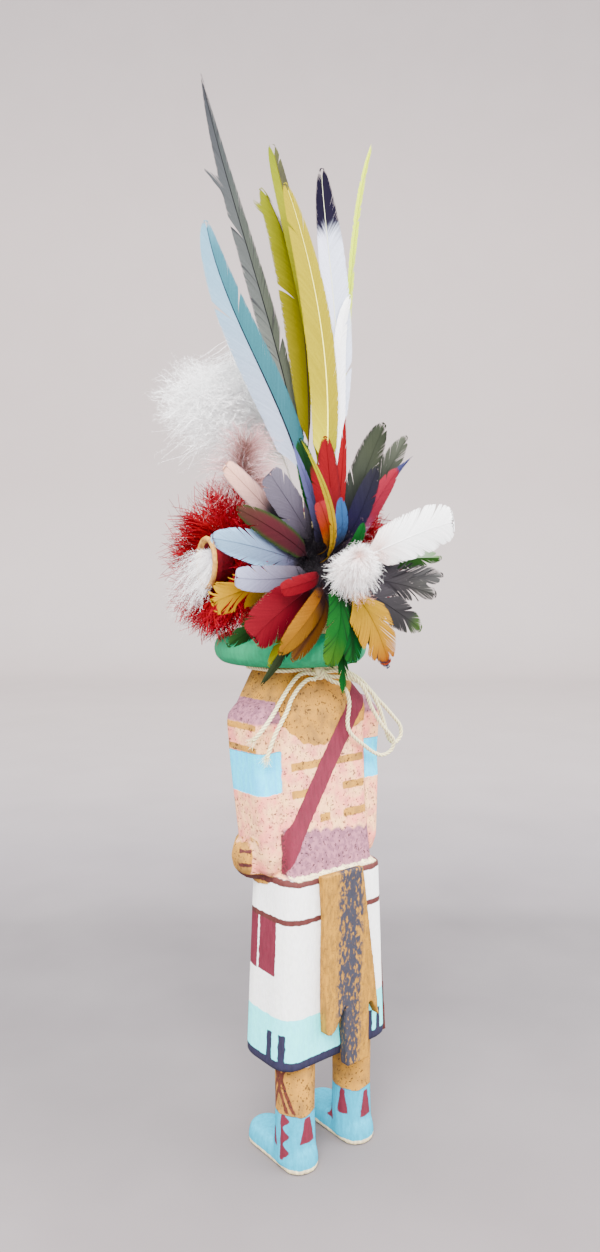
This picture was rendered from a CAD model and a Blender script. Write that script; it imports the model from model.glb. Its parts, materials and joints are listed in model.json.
# A carved kachina doll, dressed: painted wood, feathers, down, dyed hair and cotton string.
# Lengths are in millimetres in the doll's own frame: z = 0 is the ground, the doll faces -Y,
# its own left is +X and the middle of its feet is x = 0. DOLL moves them into the model's frame.

import json
import math

import bpy
import numpy as np
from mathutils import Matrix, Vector


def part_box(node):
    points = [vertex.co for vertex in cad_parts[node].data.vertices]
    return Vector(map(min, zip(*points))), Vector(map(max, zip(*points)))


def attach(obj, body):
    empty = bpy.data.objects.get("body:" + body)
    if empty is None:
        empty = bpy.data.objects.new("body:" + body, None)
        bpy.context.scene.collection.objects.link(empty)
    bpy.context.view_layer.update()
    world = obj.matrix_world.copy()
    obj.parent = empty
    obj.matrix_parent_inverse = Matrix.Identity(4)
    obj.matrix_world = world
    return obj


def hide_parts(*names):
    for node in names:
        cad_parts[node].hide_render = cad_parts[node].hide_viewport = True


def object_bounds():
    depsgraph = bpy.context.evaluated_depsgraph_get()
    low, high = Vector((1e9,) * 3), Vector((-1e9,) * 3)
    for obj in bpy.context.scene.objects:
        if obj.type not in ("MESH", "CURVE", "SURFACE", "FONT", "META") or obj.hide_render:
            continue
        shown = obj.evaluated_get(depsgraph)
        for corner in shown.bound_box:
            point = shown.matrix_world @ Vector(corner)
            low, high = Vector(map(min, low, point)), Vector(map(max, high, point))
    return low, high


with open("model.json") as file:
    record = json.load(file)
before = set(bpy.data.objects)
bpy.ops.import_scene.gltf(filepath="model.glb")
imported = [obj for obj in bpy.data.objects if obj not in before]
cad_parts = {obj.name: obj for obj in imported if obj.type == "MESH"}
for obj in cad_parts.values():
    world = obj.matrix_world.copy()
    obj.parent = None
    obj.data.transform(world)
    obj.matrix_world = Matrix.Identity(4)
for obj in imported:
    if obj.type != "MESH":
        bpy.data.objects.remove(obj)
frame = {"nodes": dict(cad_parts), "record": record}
cad_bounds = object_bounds()

MM = 0.001

# The doll's main sizes, as the solids have them
KILT_BACK = 19.5
HEM = 56.5
KILT_TOP = 153.5
RUFF_BOTTOM = 259.0
RUFF_TOP = 275.5
HEAD_TOP = 340.5
HEAD_Y = -22.5
HEAD_RADIUS = 27.0
LEG_X = 19.75
LEG_Y = 6.0
NECK_Y = -18.0
EAR_HEIGHT = 312.5
EAR_TOE_IN = math.radians(13)
CUP_LENGTH = 22.0
CLUSTER_HEIGHT = 308.5
QUILL_WIDTH = 1.5
STRING_DIAMETER = 2.2
STRING_HEIGHT = 257.1

figure_low, figure_high = (np.array(corner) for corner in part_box("figure"))
DOLL = np.array(((figure_low[0] + figure_high[0]) / 2, figure_high[1] - KILT_BACK * MM, 0.0))


# Small helpers

def unit(vectors):
    length = np.linalg.norm(vectors, axis=-1, keepdims=True)
    return vectors / np.maximum(length, 1e-9)


# Paints are given as they look in a soft-contrast picture. These turn that look into reflectance:
# the display's primaries pulled together, the film curve undone, the primaries spread again.
DISPLAY_MIX = np.array(((0.55, 0.35, 0.10), (0.13, 0.79, 0.08), (0.12, 0.24, 0.64)))
LIGHT_SPREAD = np.array(((2.12, -0.96, -0.16), (-0.37, 1.65, -0.28), (-0.23, -0.39, 1.62)))
FILM_POWER = 0.8
FILM_HALF = 0.31
FILM_REACH = (0.003, 0.98)
LIGHT_LEVEL = 5.0
LIGHTEST, DARKEST = 0.93, 0.002


def linear(color):
    share = np.asarray(color, float) / 255.0
    light = np.where(share <= 0.04045, share / 12.92, ((share + 0.055) / 1.055) ** 2.4) @ DISPLAY_MIX.T
    share = np.where(light <= 0.0031308, light * 12.92, 1.055 * light ** (1 / 2.4) - 0.055)
    share = np.clip(share, *FILM_REACH)
    light = (FILM_HALF * share / (1 - share)) ** (1 / FILM_POWER) @ LIGHT_SPREAD.T
    return np.clip(light / LIGHT_LEVEL, DARKEST, LIGHTEST)


def add_object(name, data):
    thing = bpy.data.objects.new(name, data)
    bpy.context.scene.collection.objects.link(thing)
    return thing


def paint_points(mesh, colors):
    paint = np.ones((len(mesh.vertices), 4), np.float32)
    paint[:, :3] = colors
    mesh.color_attributes.new("paint", "FLOAT_COLOR", "POINT").data.foreach_set("color", paint.ravel())


def smooth_step(low, high, value):
    t = np.clip((value - low) / (high - low), 0, 1)
    return t * t * (3 - 2 * t)


def spread_over(stops, s):
    # Colour at s between (place, colour) stops, as linear values.
    places = [place for place, _ in stops]
    colors = np.array([linear(color) for _, color in stops])
    return np.stack([np.interp(s, places, colors[:, channel]) for channel in range(3)], axis=-1)


# Camera

CAMERA_PLACE = (306.5, 364.3, 309.5)
CAMERA_AZIMUTH = math.radians(39.0)
CAMERA_PITCH = math.radians(3.6)
CAMERA_LENS = 26.2
SENSOR_WIDTH = 36.0


def add_camera():
    data = bpy.data.cameras.new("camera")
    data.lens = CAMERA_LENS
    data.sensor_width = SENSOR_WIDTH
    camera = add_object("camera", data)
    camera.location = Vector(DOLL + np.array(CAMERA_PLACE) * MM)
    level = math.cos(CAMERA_PITCH)
    aim = (-math.sin(CAMERA_AZIMUTH) * level, -math.cos(CAMERA_AZIMUTH) * level, -math.sin(CAMERA_PITCH))
    camera.rotation_euler = Vector(aim).to_track_quat("-Z", "Y").to_euler()
    bpy.context.scene.camera = camera


# Meshes

BOX_SPARE = 0.02
FLOOR_SPARE = 0.0002


class Bundle:
    """Points, faces and point colours gathered into one mesh."""

    def __init__(self):
        self.points = []
        self.colors = []
        self.faces = {3: [], 4: []}
        self.count = 0

    def add(self, points, faces, colors):
        points = points.reshape(-1, 3)
        self.points.append(points)
        colors = np.broadcast_to(colors, points.shape) if np.ndim(colors) == 1 else colors.reshape(-1, 3)
        self.colors.append(colors)
        self.faces[faces.shape[-1]].append(faces.reshape(-1, faces.shape[-1]) + self.count)
        self.count += len(points)

    def build(self, name, material):
        points = np.concatenate(self.points) * MM + DOLL
        low, high = (np.array(corner) for corner in cad_bounds)
        spare = (high - low) * BOX_SPARE
        points = np.clip(points, low - spare, high + spare)
        points[:, 2] = np.maximum(points[:, 2], FLOOR_SPARE)
        loops = np.concatenate([part.ravel() for size in (3, 4) for part in self.faces[size]])
        sizes = np.concatenate([np.full(len(part), size) for size in (3, 4) for part in self.faces[size]])
        mesh = bpy.data.meshes.new(name)
        mesh.vertices.add(len(points))
        mesh.vertices.foreach_set("co", points.astype(np.float32).ravel())
        mesh.loops.add(len(loops))
        mesh.loops.foreach_set("vertex_index", loops.astype(np.int32))
        mesh.polygons.add(len(sizes))
        mesh.polygons.foreach_set("loop_start", (np.cumsum(sizes) - sizes).astype(np.int32))
        mesh.polygons.foreach_set("use_smooth", np.ones(len(sizes), bool))
        mesh.update(calc_edges=True)
        mesh.validate()
        paint_points(mesh, np.clip(np.concatenate(self.colors), 0, 1))
        mesh.materials.append(material)
        return add_object(name, mesh)


def grid_faces(rows, columns, blocks=1, wrap=False):
    # Quads of a rows x columns grid of points, or of many such grids one after another.
    row = np.arange(rows - 1)[:, None] * columns
    column = np.arange(columns if wrap else columns - 1)[None, :]
    after = (column + 1) % columns
    below = row + columns
    quad = np.stack([row + column, row + after, below + after, below + column], axis=-1).reshape(-1, 4)
    return (np.arange(blocks)[:, None, None] * (rows * columns) + quad[None]).reshape(-1, 4)


def settle(piece, *nodes, slot=None):
    # A finished piece rides on the doll and stands for its solids.
    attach(piece, "root")
    if nodes:
        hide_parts(*nodes)
    return piece


# Node materials

class Look:
    """A Principled material with short calls for the nodes that feed it."""

    def __init__(self, name, roughness, **sockets):
        self.material = bpy.data.materials.new(name)
        self.material.use_nodes = True
        self.tree = self.material.node_tree
        self.shader = self.tree.nodes["Principled BSDF"]
        self.shader.inputs["Roughness"].default_value = roughness
        for label, value in sockets.items():
            self.shader.inputs[label.replace("_", " ")].default_value = value
        self.coordinates = self.tree.nodes.new("ShaderNodeTexCoord").outputs["Object"]

    def feed(self, socket, value):
        if hasattr(value, "is_output"):
            self.tree.links.new(value, socket)
        elif hasattr(socket.default_value, "__len__"):
            socket.default_value = (*value, 1.0)
        else:
            socket.default_value = value

    def math(self, operation, a, b):
        node = self.tree.nodes.new("ShaderNodeMath")
        node.operation = operation
        self.feed(node.inputs[0], a)
        self.feed(node.inputs[1], b)
        return node.outputs[0]

    def times(self, a, b):
        return self.math("MULTIPLY", a, b)

    def plus(self, a, b):
        return self.math("ADD", a, b)

    def less(self, a, b):
        return self.math("SUBTRACT", a, b)

    def larger(self, a, b):
        return self.math("MAXIMUM", a, b)

    def noise(self, grain, detail=2.0, stretch=(1, 1, 1), offset=0.0):
        # Noise whose patches are about grain millimetres across, longer along a stretched axis.
        mapping = self.tree.nodes.new("ShaderNodeMapping")
        self.feed(mapping.inputs["Vector"], self.coordinates)
        mapping.inputs["Scale"].default_value = [1 / value for value in stretch]
        mapping.inputs["Location"].default_value = (offset, offset, offset)
        node = self.tree.nodes.new("ShaderNodeTexNoise")
        node.inputs["Scale"].default_value = 1000.0 / grain
        node.inputs["Detail"].default_value = detail
        self.feed(node.inputs["Vector"], mapping.outputs[0])
        return node.outputs["Fac"]

    def between(self, value, low, high):
        # 0 at low and 1 at high, smooth in the middle.
        node = self.tree.nodes.new("ShaderNodeMapRange")
        node.interpolation_type = "SMOOTHSTEP"
        self.feed(node.inputs["Value"], value)
        node.inputs["From Min"].default_value = low
        node.inputs["From Max"].default_value = high
        return node.outputs["Result"]

    def mix(self, factor, a, b):
        # From a to b. Each is a node's output, or a paint as it looks.
        node = self.tree.nodes.new("ShaderNodeMix")
        node.data_type = "RGBA"
        self.feed(node.inputs["Factor"], factor)
        for label, value in (("A", a), ("B", b)):
            self.feed(node.inputs[label], value if hasattr(value, "is_output") else linear(value))
        return node.outputs["Result"]

    def attribute(self, name, output="Fac"):
        node = self.tree.nodes.new("ShaderNodeAttribute")
        node.attribute_name = name
        return node.outputs[output]

    def paint(self, color):
        self.feed(self.shader.inputs["Base Color"], color)

    def paint_own_colors(self, grain, shade):
        # The piece's own point colours, with a fine change of shade.
        fine = self.between(self.noise(grain, 3.0), 0.3, 0.7)
        factor = self.math("MULTIPLY_ADD", fine, shade)
        factor.node.inputs[2].default_value = 1.0 - shade
        scaled = self.tree.nodes.new("ShaderNodeVectorMath")
        scaled.operation = "SCALE"
        self.feed(scaled.inputs[0], self.attribute("paint", "Color"))
        self.feed(scaled.inputs["Scale"], factor)
        self.paint(scaled.outputs[0])
        return fine

    def bump(self, height, depth, strength=1.0):
        node = self.tree.nodes.new("ShaderNodeBump")
        node.inputs["Distance"].default_value = depth * MM
        node.inputs["Strength"].default_value = strength
        self.feed(node.inputs["Height"], height)
        if self.shader.inputs["Normal"].is_linked:
            self.feed(node.inputs["Normal"], self.shader.inputs["Normal"].links[0].from_socket)
        self.feed(self.shader.inputs["Normal"], node.outputs["Normal"])


def barb_look(name, roughness, sheen, shade=0.1):
    # Feather, down or hair.
    look = Look(name, roughness, Specular_IOR_Level=0.04, Sheen_Weight=sheen, Sheen_Roughness=0.4)
    look.paint_own_colors(0.9, shade)
    return look.material


# Feathers

VANE_SHAPES = {
    # Rise at the quill end, fall at the tip, and where the vane starts.
    "round": (0.5, 0.22, 0.22),
    "leaf": (0.6, 0.5, 0.2),
    "point": (0.45, 0.85, 0.25),
    "strap": (0.3, 0.28, 0.12),
    "blade": (0.3, 0.75, 0.12),
    "blunt": (0.3, 0.5, 0.12),
}


def vane_share(shape, s):
    rise, fall, start = VANE_SHAPES[shape]
    u = np.clip((s - start) / (1 - start), 0, 1)
    top = rise / (rise + fall)
    peak = top ** rise * (1 - top) ** fall
    return u ** rise * (1 - u) ** fall / peak


def bezier(points, s):
    t = np.asarray(s, float)[..., None]
    layer = [np.asarray(point, float) + 0 * t for point in points]
    while len(layer) > 1:
        layer = [a * (1 - t) + b * t for a, b in zip(layer, layer[1:])]
    return layer[0]


def route_frame(route, s, facing):
    here = bezier(route, s)
    along = unit(bezier(route, np.minimum(s + 0.02, 1)) - bezier(route, np.maximum(s - 0.02, 0)))
    across = unit(np.cross(along, facing))
    return here, along, across, np.cross(across, along)


def route_length(route):
    line = bezier(route, np.linspace(0, 1, 60))
    return np.linalg.norm(np.diff(line, axis=0), axis=1).sum()


SOOT = (62, 56, 66)

LOOK_DEFAULTS = {
    "left": None,        # colour stops of the vane on the left of the quill, seen from behind
    "edge": None,        # colour of the vane's outer edge and where it starts
    "core": None,        # colour beside the quill and how far it reaches
    "quill": None,       # a little darker than the vane unless it is named
    "quill_radius": 0.28,
    "quill_shift": 0.0,  # where the quill lies between the vane's edges, from -1 to 1
    "splits": 2,
    "gap": 0.016,
    "ragged": 0.05,
    "loose": 0.2,
    "sweep": 1.7,
    "streaks": None,     # colour and share of dark barbs
    "lock": None,        # side, place along the quill and stretch of a lock that stands off the vane
    "fluff": (SOOT, 26),  # colour and number of downy barbs at the foot
}
LONG_FEATHER = {"fluff": None, "quill_radius": 0.45, "loose": 0.1}

BARB_SPACING = 0.55
BARB_STEPS = 6
BARB_OVERLAP = 0.8
BARB_LEAN = 0.012
LOCK_WIDTH = 0.011
LOCK_RISE = 0.035


def add_vane(bundle, route, width, shape, facing, look, side, rng):
    length = route_length(route)
    start = VANE_SHAPES[shape][2]
    count = max(24, int(length * (1 - start) / BARB_SPACING))
    foot = np.linspace(start + 0.005, 0.965, count)
    out = np.linspace(0, 1, BARB_STEPS + 1)
    reach = width / 2 * look["sweep"] / length
    room = 1.01 - foot[:, None]
    s = foot[:, None] + room * (1 - np.exp(-reach * out[None] ** 0.9 / room))
    for place in rng.uniform(start + 0.12, 0.93, look["splits"]):
        away = foot[:, None] - place
        opening = look["gap"] * rng.uniform(0.4, 1.0)
        s = s + np.sign(away) * opening * np.exp(-np.abs(away) / 0.05) * out[None] ** 1.6
    wave = np.interp(foot, np.linspace(0, 1, 14), rng.normal(0, 1, 14))
    s = s + 0.006 * wave[:, None] * out[None]
    apart = None
    if look["lock"] and look["lock"][0] == side:
        apart = np.exp(-(((foot - look["lock"][1]) / LOCK_WIDTH) ** 2))[:, None]
        s = s + LOCK_RISE * apart * out[None] ** 2
    ragged = look["ragged"]
    edge_cut = 1 - ragged * rng.random(count) ** 2 - ragged * 0.6 * np.maximum(wave, 0) * 0.5
    half = np.maximum(width / 2 * vane_share(shape, np.clip(s, 0, 1)), 0.02)
    shift = look["quill_shift"]
    span = half * (1 - side * shift) * edge_cut[:, None]
    if apart is not None:
        span = span * (1 + look["lock"][2] * apart) ** out[None]
    lateral = shift * half + side * span * out[None]
    jitter = rng.normal(0, 0.12 * look["loose"] * width / 12, count)[:, None] * out[None] ** 2
    drop = -0.10 * half * out[None] ** 2 + jitter
    spacing = length * (1 - start) / count
    taper = (1.0 - 0.55 * smooth_step(0.8, 1.0, out))[None]
    reach_half = spacing * BARB_OVERLAP * taper / length
    rows = []
    for edge, lean in ((-1, -BARB_LEAN), (1, BARB_LEAN)):
        here, _, across, normal = route_frame(route, np.clip(s + edge * reach_half, 0, 0.999), facing)
        rows.append(here + across * lateral[..., None] + normal * (drop + lean * taper)[..., None])
    points = np.stack(rows, axis=2)
    stops = look["left"] if side < 0 and look["left"] else look["along"]
    mark = s + 0.012 * wave[:, None] + rng.normal(0, 0.008, count)[:, None]
    color = spread_over(stops, np.clip(mark, 0, 1))
    if look["core"]:
        share = 1 - smooth_step(0.0, look["core"][1], out)[None] * np.ones((count, 1))
        color = color + (linear(look["core"][0]) - color) * share[..., None]
    if look["edge"]:
        share = smooth_step(look["edge"][1], 1.0, out)[None] * np.ones((count, 1))
        color = color + (linear(look["edge"][0]) - color) * share[..., None]
    if look["streaks"]:
        tone, share = look["streaks"]
        clump = np.interp(foot, np.linspace(0, 1, count // 3), rng.random(count // 3))
        dark = smooth_step(1 - share, 1 - share * 0.6, clump)[:, None] * (0.35 + 0.65 * out[None])
        color = color + (linear(tone) - color) * dark[..., None]
    color = color * (1 + rng.normal(0, 0.05, count))[:, None, None] * (0.92 + 0.08 * out[None, :, None])
    colors = np.repeat(color[:, :, None, :], 2, axis=2)
    bundle.add(points, grid_faces(BARB_STEPS + 1, 2, count), colors)


def add_quill(bundle, route, width, shape, facing, look):
    steps = 26
    around = 5
    s = np.linspace(0, 0.975, steps)
    here, _, across, normal = route_frame(route, s, facing)
    offset = look["quill_shift"] * width / 2 * vane_share(shape, s)
    radius = look["quill_radius"] * (1 - 0.82 * s)
    angle = np.linspace(0, 2 * math.pi, around, endpoint=False)
    ring = across[:, None] * np.cos(angle)[None, :, None] + normal[:, None] * np.sin(angle)[None, :, None]
    points = (here + across * offset[:, None] + normal * 0.12)[:, None] + ring * radius[:, None, None]
    tone = linear(look["quill"]) if look["quill"] else spread_over(look["along"], s)[:, None] * 0.72
    bundle.add(points, grid_faces(steps, around, wrap=True), tone + np.zeros(points.shape))


STRAND_STEPS = 6


def add_strands(bundle, roots, directions, lengths, stops, rng, curl=0.5, wave=0.05, width=0.14,
                barbules=24, barbule_length=2.2, sag=0.0):
    # Soft barbs, each a bent tapering ribbon with fine barbules along it.
    count = len(roots)
    u = np.linspace(0, 1, STRAND_STEPS + 1)
    bend = unit(np.cross(directions, rng.normal(size=(count, 3))))
    other = np.cross(directions, bend)
    phase = rng.uniform(0, 2 * math.pi, (count, 1))
    beat = rng.uniform(1.0, 2.5, (count, 1))
    sway = np.sin(2 * math.pi * beat * u[None] + phase) * wave * u[None]
    swirl = np.cos(2 * math.pi * beat * u[None] + phase) * wave * u[None]
    amount = curl * rng.uniform(-1, 1, (count, 1)) * u[None] ** 2
    line = (directions[:, None] * u[None, :, None] + bend[:, None] * (amount + sway)[..., None]
            + other[:, None] * swirl[..., None])
    line = roots[:, None] + line * lengths[:, None, None]
    line[..., 2] -= sag * (lengths[:, None] * u[None]) ** 2 / 20
    tangent = unit(np.gradient(line, axis=1))
    flat = unit(np.cross(tangent, rng.normal(size=(count, 1, 3))))
    half = width / 2 * (1 - 0.7 * u)[None, :, None]
    points = np.stack((line - flat * half, line + flat * half), axis=2)
    tone = spread_over(stops, u)[None] * (1 + rng.normal(0, 0.06, (count, 1, 1)))
    bundle.add(points, grid_faces(STRAND_STEPS + 1, 2, count), np.repeat(tone[:, :, None, :], 2, axis=2))
    if not barbules:
        return
    jitter = rng.uniform(-0.4, 0.4, (count, barbules)) / barbules
    place = np.linspace(0.12, 0.995, barbules)[None] + jitter
    scaled = np.clip(place, 0, 0.999) * STRAND_STEPS
    index = scaled.astype(int)
    share = (scaled - index)[..., None]
    strand = np.arange(count)[:, None]
    start = line[strand, index] * (1 - share) + line[strand, np.minimum(index + 1, STRAND_STEPS)] * share
    ahead = tangent[strand, index]
    aside = unit(np.cross(ahead, rng.normal(size=(count, barbules, 3))))
    reach = barbule_length * rng.uniform(0.4, 1.0, (count, barbules, 1))
    end = start + unit(ahead * 0.8 + aside) * reach
    thick = ahead * 0.055
    triangle = np.stack((start - thick, start + thick, end), axis=2)
    faces = np.arange(count * barbules * 3).reshape(-1, 3)
    shade = spread_over(stops, place) * (1 + rng.normal(0, 0.05, (count, barbules, 1)))
    bundle.add(triangle, faces, np.repeat(shade[:, :, None, :], 3, axis=2))


def add_fluff(bundle, route, facing, look, rng):
    # The downy barbs at a feather's foot.
    color, count = look["fluff"]
    s = rng.uniform(0.1, 0.42, count)
    here, along, across, normal = route_frame(route, s, facing)
    side = rng.choice((-1, 1), count)[:, None]
    forward = along * rng.uniform(0.2, 1.0, (count, 1))
    outward = across * side * rng.uniform(0.4, 1.0, (count, 1))
    lifted = normal * rng.normal(0.15, 0.25, (count, 1))
    directions = unit(forward + outward + lifted)
    add_strands(bundle, here, directions, rng.uniform(5, 10, count), ((0, color), (1, color)), rng,
                barbules=14, barbule_length=1.6, width=0.12)


def add_feather(bundle, route, width, shape, facing, look, rng):
    look = {**LOOK_DEFAULTS, **look}
    facing = np.array(facing, float)
    for side in (-1, 1):
        add_vane(bundle, route, width, shape, facing, look, side, rng)
    add_quill(bundle, route, width, shape, facing, look)
    if look["fluff"]:
        add_fluff(bundle, route, facing, look, rng)


def head_surface_y(x):
    return HEAD_Y + math.sqrt(max(HEAD_RADIUS ** 2 - x ** 2, 0.0))


def crown_z(x, y):
    dome = 14.0
    distance = math.hypot(x, y - HEAD_Y) / HEAD_RADIUS
    return HEAD_TOP - dome + dome * math.sqrt(max(1 - min(distance, 1.0) ** 2, 0.0))


# Name, tip across and up from the middle of the cluster, lift of the tip behind the head, width,
# vane shape and sideways bend. Across is towards the doll's left.
CLUSTER = (
    ("pale_blue", 76, 15, 15, 17, "leaf", 3),
    ("lavender_white", 66, -3, 20, 13, "round", -4),
    ("gold_frayed", 74, -15, 12, 14, "round", 5),
    ("crimson", 57, -32, 21, 23, "round", 6),
    ("small_red", 44, -9, 26, 9, "round", 0),
    ("green_tip", 66, -35, 13, 12, "leaf", 0),
    ("yellow_green", 44, -46, 16, 11, "leaf", 0),
    ("gold_leaf", 47, -39, 28, 13, "leaf", 0),
    ("amber_leaf", 37, -43, 25, 13, "leaf", -3),
    ("green_left", 21, -46, 34, 14, "strap", 0),
    ("green_right", 2, -46, 30, 14, "strap", 0),
    ("green_long", 2, -62, 23, 9, "leaf", 0),
    ("yellow_fan", -17, -47, 36, 20, "leaf", 0),
    ("blue_tip", -29, -51, 24, 12, "leaf", 0),
    ("banded_upper", -84, -3, 12, 14, "leaf", 3),
    ("banded_lower", -74, -14, 16, 14, "leaf", -3),
    ("banded_bottom", -58, -32, 20, 16, "leaf", 0),
    ("white_round", -79, 27, 24, 26, "round", -5),
    ("green_side", -88, 7, 7, 12, "leaf", -4),
    ("pink_red", -42, 54, 17, 12, "leaf", -3),
    ("blue_arc", -56, 62, 14, 7, "point", -8),
    ("olive_grey", -37, 78, 12, 17, "leaf", -4),
    ("smoke", -60, 74, 6, 14, "leaf", 0),
    ("navy_back", -26, 54, 18, 14, "leaf", 0),
    ("red_tall", -8, 79, 13, 8, "point", 0),
    ("red_middle", 8, 67, 16, 15, "leaf", 0),
    ("red_left", 20, 53, 20, 12, "leaf", 4),
    ("dark_green", 18, 66, 8, 14, "leaf", 0),
    ("lavender_blade", 29, 62, 16, 8, "blade", 0),
    ("thin_yellow", 38, 61, 33, 5, "blade", 5),
    ("orange_tuft", 17, 34, 22, 10, "round", 0),
    ("grey_purple", 41, 47, 13, 18, "round", 0),
    ("maroon_upper", 63, 29, 17, 11, "leaf", 2),
)

# Small feathers tucked between the others
TUCKED = (
    ("dark_olive", 53, -54, 22, 6, "leaf", 0),
    ("small_blue", 6, 36, 25, 9, "leaf", 0),
    ("small_green", -6, 24, 29, 7, "leaf", 0),
    ("cream_oval", 61, 50, 5, 12, "round", 0),
)

# Name, foot on the crown (across, depth), tip across, depth and height, width, vane shape and
# sideways bow near the foot and near the tip.
CREST = (
    ("grey", -14, -24, 53, -26, 552, 15, "blade", 14, -4),
    ("blue", -3, -10, 58.7, -14, 477, 23, "blade", 14, -12),
    ("olive", -14, -19, 21.5, -20, 503.5, 16, "leaf", 2, 20),
    ("olive_tip", -5, -14, 17.7, -15, 524.5, 13, "strap", 33, 10),
    ("yellow", -4, -3, 18, -4, 502, 20, "blade", 20, 16.5),
    ("navy_tip", -12, -9, -12.4, -11, 519.5, 20, "leaf", 24, 9),
    ("white_short", -9, -6, -31, -9, 457, 9.5, "leaf", 18, -12.5),
    ("pale_yellow", -16, -15, -54.7, -17, 547, 5, "leaf", 12.5, -13.5),
)


# The way the feathers' backs face, with a hair's breadth of rise for the upright plumes
BACKWARD = (0, 1, 0)
PLUME_FACING = np.array((0, 1, 0.001))
# How far from the middle of the cluster the quills of the flattest feathers start
QUILL_RING = 18


def cluster_route(across, up, lift, bend):
    middle = np.array((0, 0, CLUSTER_HEIGHT))
    radial = unit(np.array((across, 0.0, up)))
    sideways = np.array((-radial[2], 0, radial[0]))
    foot = middle + radial * (QUILL_RING - lift * 0.4)
    foot[1] = head_surface_y(foot[0]) + 0.9
    tip = middle + np.array((across, lift, up))
    reach = np.linalg.norm(tip - foot)
    rise = foot + np.array((0, lift * 0.62 + 3, 0)) + radial * reach * 0.08
    swing = foot * 0.45 + tip * 0.55 + np.array((0, 2.5, 0)) + sideways * bend
    swing[1] = max(swing[1], lift)
    return foot, rise, swing, tip


def crest_route(foot_x, foot_y, tip_x, tip_y, tip_z, near_bow, far_bow):
    foot = np.array((foot_x, foot_y, crown_z(foot_x, foot_y) + 0.6))
    tip = np.array((tip_x, tip_y, tip_z), float)
    sideways = np.cross(unit(tip - foot), (0, 1, 0))
    near = foot * 0.65 + tip * 0.35 + sideways * near_bow
    far = foot * 0.3 + tip * 0.7 + sideways * far_bow
    return foot, near, far, tip


INK = (36, 34, 54)
DUSK = (104, 96, 108)
SNOW = (250, 250, 252)
ICE = (196, 212, 222)
LEAF = (36, 122, 40)
DEEP_GREEN = (20, 66, 28)
GOLD = (210, 175, 16)
AMBER = (182, 120, 22)
SCARLET = (192, 36, 34)
CRIMSON = (172, 12, 40)
OLIVE = (98, 104, 82)

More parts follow.
